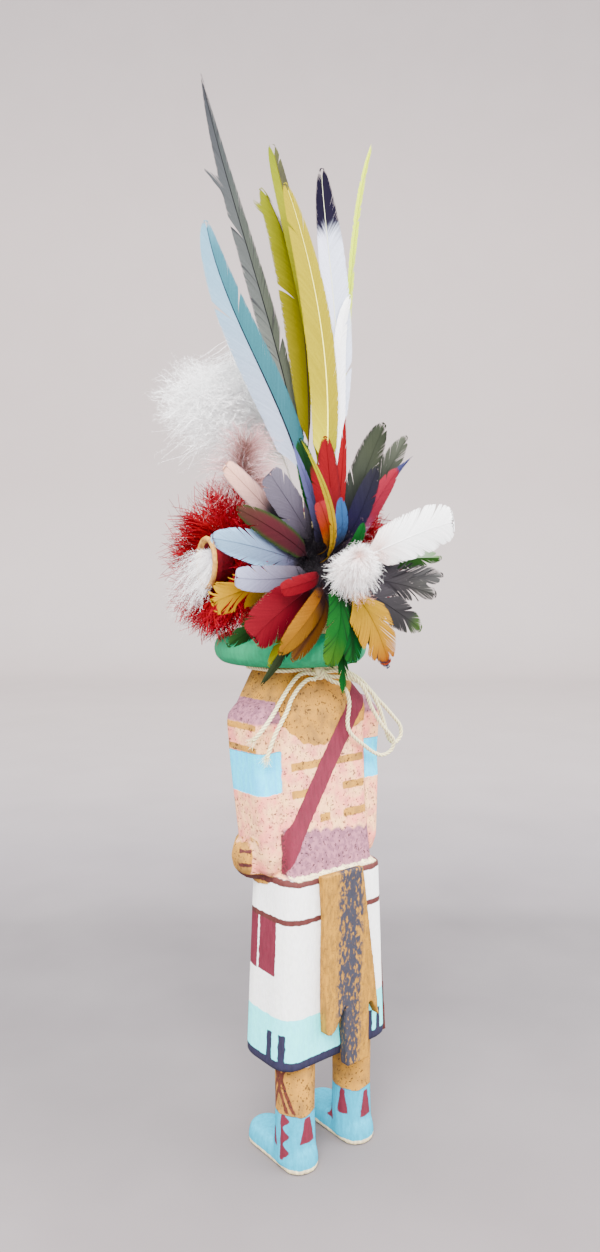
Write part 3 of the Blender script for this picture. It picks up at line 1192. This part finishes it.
def paint_fields(piece):
    points = doll_points(piece)
    x, y, z = points.T
    reach = np.abs(x)
    round_neck = np.hypot(x, y - HEAD_Y)
    scallop = 0.9 * np.abs(np.sin(x * 0.42)) - 0.4
    ripple = 0.3 * np.sin(x * 0.9) + 0.3 * np.sin(x * 2.3 + 1)
    kilt = band(z, HEM - 2.0, KILT_TOP + 0.1)
    kilt_side = meet(x - KILT_SIDE_STARTS, kilt)
    kilt_back = meet(y - KILT_BACK_STARTS, kilt)
    legs = HEM - 1.0 - z
    boots = BOOT_TOP + 0.6 * np.sin(x * 0.5) - z
    arm = meet(reach - ARM_INSIDE, z - KILT_TOP)
    forearm = forearm_field(points)
    yoke = meet(z - np.interp(x, *zip(*YOKE_EDGE)) - scallop, RUFF_BOTTOM + 0.5 - z)
    mauve_top = MAUVE_HEIGHTS[1] + MAUVE_SLOPE * (x + 28) + scallop * 2
    stripes = [meet(bands(x, across), band(z, low, high)) for low, high, *across in BACK_STRIPES]
    back_stripes = meet(y + 8, union(*stripes))
    arm_stripes = meet(bands(z, ARM_STRIPES), reach - ARM_STRIPE_ASIDE, 2.5 - y)
    wrist_lines = union(*(1.0 - np.abs(z - height - WRIST_SLOPE * y) for height in WRIST_LINES))
    sash = union(polygon(x, z, SASH), polygon(x, z, SASH_TIP))
    sash = meet(sash, SASH_SIDE - reach + 4 * (x < 0), RUFF_BOTTOM - 9 - z, -forearm)
    laces = [leg_mark(points, 1, middle + (z - SHIN_MIDDLE) * turn, LACE_HALF_WIDTH, *LACE_HEIGHTS)
             for middle, turn in LACES]
    fields = {
        "kilt": kilt,
        "tan": union(legs, yoke, back_stripes, arm_stripes, forearm),
        "aqua": meet(band(z, *AQUA_HEIGHTS), kilt),
        "navy": union(
            meet(band(z, *NAVY_HEM), z - HEM + 0.4, kilt),
            meet(bands(y, NAVY_SIDE_BARS), band(z, *NAVY_SIDE_HEIGHTS), kilt_side),
            meet(bands(x, NAVY_BACK_BARS), band(z, *NAVY_BACK_HEIGHTS), kilt_back)),
        "maroon": union(
            sash,
            meet(bands(y, RED_BARS), band(z, *RED_BAR_HEIGHTS), kilt_side),
            meet(boot_marks(points), boots)),
        "blue": boots,
        "armband": meet(arm, band(z, ARMBAND_HEIGHTS[0], ARMBAND_HEIGHTS[1] + ARMBAND_SLOPE * (y + 5))),
        "brown": union(
            meet(bands(z, KILT_LINES), kilt),
            meet(forearm, wrist_lines, y + 12.0, reach - WRIST_ASIDE),
            meet(forearm + 0.2, 1.1 - np.abs(z - FOREARM_LINE))),
        "lacing": meet(legs, union(*laces)),
        "crease": meet(1.2 - np.abs(reach - CREASE_ASIDE), band(z, KILT_TOP + 1, CREASE_TOP), y - 2),
        "cream": union(
            meet(boots, SOLE - z),
            meet(band(z, CREAM_HEIGHTS[0], CREAM_HEIGHTS[1] + ripple), 28 - reach)),
        "mauve": union(
            meet(band(z, MAUVE_HEIGHTS[0], mauve_top), 29 - reach, 14 - (x - 20)),
            meet(z - MAUVE_SHOULDER, arm)),
        "pad": meet(PAD_RADIUS - np.hypot(x, z - CLUSTER_HEIGHT), y - HEAD_Y - 8, z - RUFF_TOP - 2),
        "ruff": meet(band(z, RUFF_BOTTOM - 0.6, RUFF_TOP + 0.8), round_neck - HEAD_RADIUS - 0.4),
        "head": union(z - RUFF_TOP - 0.6, meet(z - RUFF_TOP + 1.5, HEAD_RADIUS + 0.4 - round_neck)),
        "dark": face_marks(x, y, z),
    }
    for name, values in fields.items():
        add_field(piece, name, values)


# Field, light and dark tone of its paint, what the tone follows, and how soft its edge is.
# A later coat covers the ones before it.
WOOD_PAINTS = (
    ("mauve", (216, 184, 192), (202, 166, 178), "dapple", 1.2),
    ("kilt", (250, 246, 242), (244, 238, 234), "brush", 0.2),
    ("tan", (229, 200, 150), (214, 182, 132), "blotch", 0.3),
    ("aqua", (216, 238, 239), (208, 233, 235), "brush", 0.3),
    ("navy", (80, 84, 126), (68, 72, 112), "brush", 0.25),
    ("blue", (140, 218, 230), (134, 212, 225), "brush", 0.25),
    ("armband", (152, 234, 246), (146, 229, 242), "brush", 0.25),
    ("maroon", (192, 92, 110), (180, 80, 98), "brush", 0.25),
    ("brown", (166, 96, 88), (150, 80, 72), "brush", 0.25),
    ("lacing", (184, 112, 86), (168, 96, 72), "brush", 0.3),
    ("cream", (236, 231, 221), (226, 220, 210), "brush", 0.3),
    ("ruff", (146, 211, 182), (136, 203, 172), "brush", 0.2),
    ("head", (236, 230, 214), (222, 214, 198), "brush", 0.2),
    ("pad", SOOT, (48, 44, 52), "brush", 0.6),
    ("dark", (44, 38, 36), (30, 26, 26), "brush", 0.2),
)
STEADY_EDGES = ("kilt", "ruff", "head")
SMOOTH_PAINTS = ("armband", "maroon", "ruff", "head")


def painted_wood_look():
    # Flat mineral paint, brushed and sponged over carved wood.
    look = Look("painted_wood", 0.75, Specular_IOR_Level=0.15)
    wobble = look.times(look.less(look.noise(3.0, 3.0), 0.5), 1.5)
    patterns = {
        "brush": look.between(look.noise(2.0, 3.0, stretch=(1, 1, 5)), 0.3, 0.7),
        "blotch": look.between(look.noise(9.0, 4.0), 0.36, 0.66),
        "dapple": look.between(look.noise(2.6, 4.0, offset=3.3), 0.4, 0.6),
    }
    grain = look.between(look.noise(1.0, 4.0, stretch=(1, 1, 3), offset=0.3), 0.35, 0.7)
    speck = look.between(look.noise(1.2, 2.0, stretch=(1, 1, 1.5), offset=0.7), 0.625, 0.66)
    pit = look.between(look.noise(1.9, 1.0, stretch=(1, 1, 0.7), offset=1.3), 0.675, 0.71)
    sponge = look.between(look.noise(4.2, 5.0, offset=2.1), 0.50, 0.60)
    pink = look.mix(patterns["blotch"], (247, 225, 212), (240, 208, 199))
    color = look.mix(look.times(sponge, 0.45), pink, (230, 192, 188))
    for name, light, dark, pattern, soft in WOOD_PAINTS:
        coat = look.mix(patterns[pattern], light, dark)
        edge = look.plus(look.attribute(name), look.times(wobble, 0.5 if name in STEADY_EDGES else 1.0))
        color = look.mix(look.between(edge, -soft, soft), color, coat)
    worn = look.times(look.between(look.noise(1.3, 3.0, offset=4.4), 0.50, 0.58), 0.7)
    worn = look.times(look.between(look.attribute("crease"), 0.0, 0.7), worn)
    color = look.mix(worn, color, (120, 78, 76))
    rough_field = look.larger(look.attribute("tan"), look.less(0.0, look.attribute("kilt")))
    smooth_field = look.attribute("blue")
    for name in SMOOTH_PAINTS:
        smooth_field = look.larger(smooth_field, look.attribute(name))
    smooth = look.between(smooth_field, -0.3, 0.3)
    marks = look.times(look.between(rough_field, -0.5, 0.5), look.less(1.0, smooth))
    color = look.mix(look.times(speck, look.times(marks, 0.75)), color, (110, 74, 62))
    color = look.mix(look.times(pit, look.times(marks, 0.8)), color, (92, 62, 66))
    look.paint(look.mix(look.times(grain, 0.10), color, (150, 130, 120)))
    look.bump(look.times(look.less(1.0, look.larger(speck, pit)), marks), 0.35, 0.8)
    look.bump(grain, 0.16, 0.6)
    look.bump(look.noise(6.0, 3.0, stretch=(1, 1, 2.2), offset=4.0), 0.5, 0.7)
    return look.material


def pelt_look():
    # Tan paint with dark dabs along the middle, close together there and loose at the sides.
    look = Look("pelt_paint", 0.8, Specular_IOR_Level=0.15)
    streak = look.between(look.noise(1.6, 4.0, stretch=(1, 1, 4)), 0.35, 0.68)
    tan = look.mix(streak, (222, 190, 132), (206, 170, 110))
    spine = look.attribute("spine")
    dab = look.plus(look.noise(1.6, 6.0, stretch=(1, 1, 1.8), offset=1.0), look.times(spine, 0.018))
    dab = look.between(dab, 0.44, 0.6)
    edge = look.between(look.plus(spine, look.times(look.noise(5.0, 4.0, offset=2.0), 5.0)), 0.5, 4.0)
    color = look.mix(look.times(dab, edge), tan, (108, 110, 126))
    fleck = look.between(look.noise(1.1, 2.0, offset=5.0), 0.62, 0.68)
    look.paint(look.mix(look.times(fleck, 0.5), color, (150, 110, 70)))
    look.bump(streak, 0.35, 0.8)
    look.bump(dab, 0.2, 0.6)
    return look.material


def slat_look():
    look = Look("sash_paint", 0.7, Specular_IOR_Level=0.15)
    tone = look.between(look.noise(1.8, 4.0), 0.35, 0.68)
    look.paint(look.mix(tone, (160, 88, 78), (140, 70, 62)))
    look.bump(tone, 0.15, 0.7)
    return look.material


def flower_look():
    look = Look("flower_wood", 0.75, Specular_IOR_Level=0.12)
    tone = look.between(look.noise(2.2, 4.0), 0.35, 0.68)
    dyed = look.mix(tone, (186, 20, 44), (160, 12, 36))
    pale = look.mix(tone, (230, 208, 170), (216, 186, 144))
    edge = look.plus(look.attribute("rim"), look.times(look.less(look.noise(2.0, 3.0), 0.5), 1.2))
    look.paint(look.mix(look.between(edge, -0.2, 0.2), dyed, pale))
    look.bump(tone, 0.15, 0.7)
    return look.material


# Voxel size and rounds of softening of each carved piece
CARVED_FIGURE, CARVED_PELT, CARVED_SASH = (1.05, 5), (0.6, 4), (0.5, 3)
CARVED_CUP, CARVED_KNOT = (0.6, 3), (0.4, 2)
PELT_SPINE = 10.5
PELT_TIP = 34
RIM_DEPTH = 2.2
CUP_FLOOR = 9
CUP_BORE = 8.6


def build_wood():
    body = carved("figure", "painted_figure", *CARVED_FIGURE)
    paint_fields(body)
    body.data.materials.append(painted_wood_look())
    settle(body, "figure", slot="painted_wood")
    pelt = carved("fox_pelt", "carved_pelt", *CARVED_PELT)
    x, y, z = doll_points(pelt).T
    add_field(pelt, "spine", meet(PELT_SPINE - np.abs(x + 1.5 + 0.05 * (z - 100)), z - PELT_TIP) - 2.0)
    pelt.data.materials.append(pelt_look())
    settle(pelt, "fox_pelt", slot="pelt_paint")
    slat = carved("side_sash", "carved_side_sash", *CARVED_SASH)
    slat.data.materials.append(slat_look())
    settle(slat, "side_sash", slot="sash_paint")
    cup_paint = flower_look()
    for side, word in ((1, "left"), (-1, "right")):
        cup = carved(word + "_ear_flower", word + "_flower_cup", *CARVED_CUP)
        points = doll_points(cup) - ear_point(side, 0)
        aim, _, _ = ear_axes(side)
        out = points @ aim
        off = np.linalg.norm(points - out[:, None] * aim, axis=1)
        inside = meet(out - CUP_LENGTH + CUP_FLOOR, CUP_BORE - off)
        add_field(cup, "rim", union(out - (CUP_LENGTH - RIM_DEPTH), inside))
        cup.data.materials.append(cup_paint)
        settle(cup, word + "_ear_flower", slot="flower_wood")


# String

TAIL_OUTER = (
    (4.9, 1.8, 254.9), (9.5, 1.9, 255.6), (14.2, 2.2, 254.6), (20.5, 3.4, 250.2), (27.5, 5.0, 243.7),
    (33.5, 7.0, 238.1), (39.4, 8.6, 233.1), (43.2, 7.9, 228.9), (45.3, 5.6, 225.4),
)
TAIL_INNER = (
    (4.4, 3.6, 252.2), (9.8, 4.0, 252.3), (16.3, 4.8, 248.6), (22.2, 6.2, 243.2), (26.0, 7.8, 238.4),
    (30.4, 8.6, 232.9), (34.8, 8.4, 226.0), (38.8, 7.8, 216.1),
)
LOOP_OUTER = (
    (-4.9, 1.4, 255.6), (-9.0, 2.4, 256.0), (-13.8, 3.2, 255.6), (-18.8, 4.2, 254.2),
    (-25.1, 6.0, 250.3), (-30.1, 7.8, 244.8), (-35.3, 9.0, 239.0), (-40.0, 9.6, 234.6),
    (-46.4, 10.0, 228.4), (-51.8, 10.0, 222.6), (-52.2, 10.0, 217.0), (-47.6, 10.2, 213.8),
    (-42.2, 10.8, 216.6), (-38.6, 11.6, 224.0), (-35.2, 12.2, 231.2), (-32.0, 12.4, 237.0),
    (-27.4, 12.0, 243.8), (-20.8, 9.8, 249.2), (-14.2, 7.2, 251.8), (-9.2, 5.6, 252.6),
    (-5.0, 4.4, 253.0),
)
LOOP_INNER = (
    (-4.4, 5.6, 256.2), (-8.6, 9.4, 256.0), (-13.2, 13.0, 253.2), (-17.0, 15.0, 249.6),
    (-21.4, 15.4, 243.3), (-24.6, 14.6, 237.8), (-29.2, 14.4, 231.0), (-34.4, 14.6, 224.6),
    (-39.4, 14.4, 220.0), (-43.4, 13.6, 215.4), (-42.6, 12.0, 210.2), (-37.2, 10.8, 208.2),
    (-31.0, 10.2, 210.6), (-24.0, 10.4, 215.2), (-17.4, 10.4, 219.9), (-13.6, 10.0, 224.4),
    (-13.0, 9.6, 229.4), (-14.2, 9.2, 234.4), (-14.6, 9.0, 239.6), (-13.2, 8.6, 244.6),
    (-9.8, 7.6, 248.8), (-5.0, 6.2, 250.6),
)


def neck_route():
    # Once round the neck under the ruff, from one side of the knot to the other.
    half_x, half_y, corner, steps = 23.4, 17.2, 8.0, 5
    outline = []
    for sign_x, sign_y, quarter in ((-1, 1, 1), (-1, -1, 2), (1, -1, 3), (1, 1, 0)):
        for step in range(steps + 1):
            angle = math.radians(90) * (quarter + step / steps)
            outline.append((sign_x * (half_x - corner) + corner * math.cos(angle),
                            sign_y * (half_y - corner) + corner * math.sin(angle) + NECK_Y))
    start = 5.6
    back = half_y + NECK_Y - 0.3
    return [(x, y, STRING_HEIGHT) for x, y in [(-start, back)] + outline + [(start, back)]]


def smooth_route(points, spacing):
    path = [np.array(point, float) for point in points]
    path = [2 * path[0] - path[1]] + path + [2 * path[-1] - path[-2]]
    t = (np.arange(24) / 24)[:, None]
    fine = []
    for a, b, c, d in zip(path, path[1:], path[2:], path[3:]):
        square, cube = 2 * a - 5 * b + 4 * c - d, 3 * b - a - 3 * c + d
        fine.append(0.5 * (2 * b + (c - a) * t + square * t ** 2 + cube * t ** 3))
    fine = np.concatenate(fine + [path[-2][None]])
    walked = np.concatenate(([0], np.cumsum(np.linalg.norm(np.diff(fine, axis=0), axis=1))))
    count = max(4, round(walked[-1] / spacing))
    places = np.linspace(0, walked[-1], count + 1)
    return np.stack([np.interp(places, walked, fine[:, i]) for i in range(3)], axis=-1), walked[-1]


KNOT_REACH = 12.0
KNOT_TURNS = ((-1.3, 0.5), (1.0, -0.3))
TURN_DEPTH, TURN_HEIGHT = 2.2, 2.6
FRAYED_FIBRES = 70
STRING_SPACING = 0.45
STRING_SIDES = 15
PLY_LAY = 7.0
PLY_CREST, PLY_GROOVE = (242, 234, 224), (222, 210, 198)


def add_string(bundle, points):
    # Three cotton plies twisted together. Gives back the middle line and its length.
    route, length = smooth_route(points, STRING_SPACING)
    tangent = unit(np.gradient(route, axis=0))
    side = unit(np.cross(tangent, (0.11, 0.23, 0.96)))
    for i in range(1, len(side)):
        carried = side[i - 1] - tangent[i] * (side[i - 1] @ tangent[i])
        side[i] = carried / np.linalg.norm(carried)
    other = np.cross(tangent, side)
    angle = np.linspace(0, 2 * math.pi, STRING_SIDES, endpoint=False)[None]
    twist = (np.linspace(0, length, len(route)) * 2 * math.pi / PLY_LAY)[:, None]
    plies = np.cos(3 * (angle - twist))
    radius = STRING_DIAMETER / 2 * (0.86 + 0.14 * plies)
    ring = side[:, None] * np.cos(angle)[..., None] + other[:, None] * np.sin(angle)[..., None]
    tube = route[:, None] + ring * radius[..., None]
    crest = plies[..., None] * 0.5 + 0.5
    color = linear(PLY_GROOVE) * (1 - crest) + linear(PLY_CREST) * crest
    bundle.add(tube, grid_faces(len(route), STRING_SIDES, wrap=True), color)
    for end in (0, -1):
        cap = np.concatenate((tube[end], route[end][None]))
        fan = np.array([(i, (i + 1) % STRING_SIDES, STRING_SIDES) for i in range(STRING_SIDES)])
        bundle.add(cap, fan[:, ::-1] if end == 0 else fan, linear((230, 224, 212)))
    return route, length


def twisted_string(name, points, material):
    bundle = Bundle()
    route, length = add_string(bundle, points)
    piece = bundle.build(name + "_plies", material)
    settle(piece, name, slot="cotton_string")
    return piece, route * MM + DOLL, length * MM


def frayed_end(name, route, material, seed):
    # Loose fibres at a cut end.
    rng = np.random.default_rng(seed)
    tip, before = (route[-1] - DOLL) / MM, (route[-4] - DOLL) / MM
    directions = unit(unit(tip - before) + rng.normal(0, 0.28, (FRAYED_FIBRES, 3)))
    roots = tip - unit(tip - before) * 1.2 + rng.normal(0, 0.35, (FRAYED_FIBRES, 3))
    bundle = Bundle()
    stops = ((0, (234, 228, 216)), (1, (238, 234, 226)))
    lengths = rng.uniform(2.5, 6.5, FRAYED_FIBRES)
    add_strands(bundle, roots, directions, lengths, stops, rng, curl=0.3, width=0.22, barbules=0)
    return settle(bundle.build(name, material))


def knot_wraps(middle, material):
    # Two turns round the knot, and the short lengths by which each string comes out of it.
    bundle = Bundle()
    angle = np.linspace(-0.5 * math.pi, 1.5 * math.pi, 15)
    for aside, lean in KNOT_TURNS:
        turn = (aside + lean * np.sin(angle), TURN_DEPTH * np.sin(angle), TURN_HEIGHT * np.cos(angle))
        turn = np.stack(turn, axis=-1)
        add_string(bundle, middle + turn)
    for points in (neck_route(), TAIL_OUTER, TAIL_INNER, LOOP_OUTER, LOOP_INNER):
        points = np.array(points, float)
        ends = [(points[0], points[1])]
        if np.linalg.norm(points[-1] - middle) < KNOT_REACH:
            ends.append((points[-1], points[-2]))
        for end, beyond in ends:
            out = end + 0.8 * unit(beyond - end)
            bend = middle + 0.55 * (end - middle)
            add_string(bundle, (middle, bend, out))
    return settle(bundle.build("string_knot_wraps", material))


def build_string(material):
    knot = carved("string_knot", "string_knot_turns", *CARVED_KNOT)
    wraps = knot_wraps(doll_points(knot).mean(axis=0), material)
    paint_points(knot.data, linear((240, 232, 222)))
    knot.data.materials.append(material)
    settle(knot, "string_knot", slot="cotton_string")
    for name, points, far_end, with_knot in (
        ("neck_string", neck_route(), "knot", True),
        ("string_tail_outer", TAIL_OUTER, "bare", False),
        ("string_tail_inner", TAIL_INNER, "bare", False),
        ("bow_loop_outer", LOOP_OUTER, "object", False),
        ("bow_loop_inner", LOOP_INNER, "object", False),
    ):
        piece, route, length = twisted_string(name, points, material)
        extras = [knot, wraps] if with_knot else []
        if far_end == "bare":
            extras.append(frayed_end(name + "_fibres", route, material, len(name)))


def string_look():
    look = Look("cotton_string", 0.9, Specular_IOR_Level=0.2, Sheen_Weight=0.3)
    fibre = look.paint_own_colors(0.5, 0.12)
    look.bump(fibre, 0.12, 0.7)
    return look.material


# Floor, backdrop and light

# Distances are walked from the doll over the floor, away from the camera, and on up the wall
NEAR_EDGE = -3500.0
WALL_FOOT = 2000.0
WALL_BEND = 600.0
BEND_STEPS = 16
HALF_WIDTH = 4000.0
UNDER_FEET = -0.3
FLOOR_PLACES = (
    NEAR_EDGE, -1500.0, -600.0, -300.0, -120.0, 0.0, 80.0, 160.0, 240.0, 300.0, 325.0, 350.0, 420.0,
    500.0, 650.0, 850.0, 1100.0, 1500.0, WALL_FOOT,
)
WALL_HEIGHTS = (1000.0, 1400.0, 1900.0, 2500.0, 4200.0)
STUDIO_TONES = (
    (NEAR_EDGE, (197, 187, 187)), (-600.0, (197, 187, 187)), (0.0, (173, 168, 169)),
    (160.0, (164, 160, 162)), (300.0, (166, 162, 164)), (350.0, (178, 174, 176)),
    (500.0, (190, 186, 188)), (850.0, (206, 202, 202)), (1500.0, (215, 211, 210)),
    (2900.0, (221, 217, 216)), (3800.0, (221, 217, 216)), (5000.0, (211, 207, 207)),
)


def add_studio():
    # A pale sweep: a flat floor all round the doll and a tall wall a long way behind it.
    away = np.array((-math.sin(CAMERA_AZIMUTH), -math.cos(CAMERA_AZIMUTH), 0))
    aside = np.array((-math.cos(CAMERA_AZIMUTH), math.sin(CAMERA_AZIMUTH), 0))
    profile = [(depth, 0.0) for depth in FLOOR_PLACES]
    for step in range(1, BEND_STEPS + 1):
        angle = math.radians(90) * step / BEND_STEPS
        profile.append((WALL_FOOT + WALL_BEND * math.sin(angle), WALL_BEND * (1 - math.cos(angle))))
    profile += [(WALL_FOOT + WALL_BEND, height) for height in WALL_HEIGHTS]
    steps = np.hypot(*np.diff(np.array(profile), axis=0).T)
    walk = NEAR_EDGE + np.concatenate(([0.0], np.cumsum(steps)))
    tones = spread_over(STUDIO_TONES, walk)
    rows = [away * depth + aside * sign * HALF_WIDTH + np.array((0, 0, height + UNDER_FEET))
            for depth, height in profile for sign in (-1, 1)]
    mesh = bpy.data.meshes.new("studio_sweep")
    points = np.array(rows) * MM + DOLL
    mesh.from_pydata(points.tolist(), [], grid_faces(len(profile), 2).tolist())
    mesh.polygons.foreach_set("use_smooth", np.ones(len(mesh.polygons), bool))
    paint_points(mesh, np.repeat(tones, 2, axis=0))
    look = Look("backdrop_paper", 0.95, Specular_IOR_Level=0.1)
    cloud = look.times(look.noise(120.0, 4.0), 0.1)
    look.paint(look.mix(cloud, look.attribute("paint", "Color"), (230, 228, 228)))
    mesh.materials.append(look.material)
    add_object("studio_sweep", mesh)


LIGHT_AIM = (0, 0, 0.28)
SKY_COLOR = (0.95, 0.97, 1.0, 1.0)
SKY_STRENGTH = 2.9


def add_area_light(name, place, size, power, color):
    data = bpy.data.lights.new(name, "AREA")
    data.shape = "DISK"
    data.size = size
    data.energy = power
    data.color = color
    light = add_object(name, data)
    light.location = Vector(DOLL) + Vector(place)
    light.rotation_euler = (Vector(LIGHT_AIM) - Vector(place)).to_track_quat("-Z", "Y").to_euler()


def add_light():
    world = bpy.data.worlds.new("studio_light")
    world.use_nodes = True
    background = world.node_tree.nodes["Background"]
    background.inputs["Color"].default_value = SKY_COLOR
    background.inputs["Strength"].default_value = SKY_STRENGTH
    bpy.context.scene.world = world
    add_area_light("key_light", (0.9, 0.9, 1.5), 1.2, 120, (1.0, 0.98, 0.96))
    add_area_light("fill_light", (-0.9, 1.1, 0.9), 1.4, 42, (0.97, 0.98, 1.0))
    add_area_light("top_light", (0, 0.1, 1.9), 1.6, 64, (1, 1, 1))


# The doll

add_camera()
barb_material = barb_look("feather_barbs", 0.7, 0.0)
down_material = barb_look("down_barbs", 0.9, 0.06, 0.03)
hair_material = barb_look("dyed_hair", 0.85, 0.0)
build_string(string_look())
build_wood()
build_feathers(barb_material)
build_nest(down_material)
build_plumes(down_material)
for ear_side, ear_word in ((1, "left"), (-1, "right")):
    build_fringe(ear_side, ear_word, hair_material)
    build_ear_down(ear_side, ear_word, down_material)
add_studio()
add_light()
